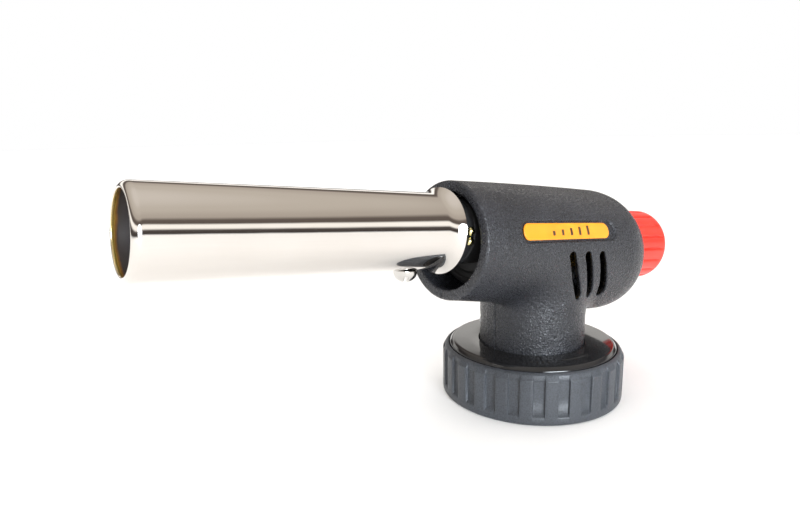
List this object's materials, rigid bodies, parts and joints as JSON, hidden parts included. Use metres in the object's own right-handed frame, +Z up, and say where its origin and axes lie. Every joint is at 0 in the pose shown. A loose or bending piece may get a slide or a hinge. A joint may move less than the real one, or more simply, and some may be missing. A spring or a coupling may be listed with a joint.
{
  "type": "gas torch head",
  "caption": "Hand-held gas torch head: chrome flame tube, two-shell plastic housing on a stem, red gas knob and ribbed lock collar for a bayonet gas cartridge.",
  "frame": {"origin": "centre of the lock collar's lower face, on the cartridge axis", "axes": "+Z up along the cartridge axis, +X the way the flame leaves, +Y the torch's left side"},
  "size_m": [0.1738, 0.056, 0.0733],
  "materials": {
    "housing_black": "fine spark-eroded texture, satin black-grey",
    "collar_black": "moulded satin plastic, slightly smoother than the housing",
    "disc_gloss": "polished black plastic",
    "plate_yellow": "gloss yellow-orange film",
    "knob_red": "moulded bright red, satin gloss",
    "chrome": "mirror-bright plated steel",
    "steel": "zinc-plated steel",
    "brass": "turned brass",
    "holder_metal": "blackened die casting",
    "rubber": "matte nitrile rubber"
  },
  "bodies": {
    "torch_body": {"housing_left": "housing_black", "housing_right": "housing_black", "name_plate": "plate_yellow", "valve_body": "brass", "top_disc": "disc_gloss", "wave_washer": "steel", "seat_plate": "steel", "inlet_seal": "rubber", "inlet_filter": "brass", "flame_tube": "chrome", "tube_holder": "holder_metal", "mixing_tube": "brass", "flame_holder": "brass", "jet_nozzle": "brass", "holder_rivet_1": "brass", "holder_rivet_2": "brass", "spindle_o_ring": "rubber", "gland_nut": "brass", "tube_screw": "chrome", "shell_screw_1": "steel", "shell_screw_2": "steel", "shell_screw_3": "steel", "shell_screw_4": "steel", "seat_screw_1": "steel", "seat_screw_2": "steel", "seat_screw_3": "steel", "seat_screw_4": "steel"},
    "collar": {"bayonet_plate": "steel", "collar_screw_1": "steel", "collar_screw_2": "steel", "collar_screw_3": "steel", "lock_collar": "collar_black"},
    "spindle": {"needle_spindle": "steel"},
    "knob": {"gas_knob": "knob_red"}
  },
  "joints": [
    {"name": "spindle_lift", "type": "slide", "parent": "torch_body", "child": "spindle", "axis": [-0.9945, 0, -0.1045], "range_m": [0, 0.00105]},
    {"name": "knob_turn", "type": "hinge", "parent": "spindle", "child": "knob", "pos_m": [-0.0435, 0, 0.04131], "axis": [-0.9945, 0, -0.1045], "range_deg": [0, 540]},
    {"name": "collar_turn", "type": "hinge", "parent": "torch_body", "child": "collar", "pos_m": [0, 0, 0], "axis": [0, 0, 1], "range_deg": [0, 35]}
  ],
  "couplings": [
    {"joint": "knob_turn", "follows": "spindle_lift", "rad_per_m": 8976}
  ]
}
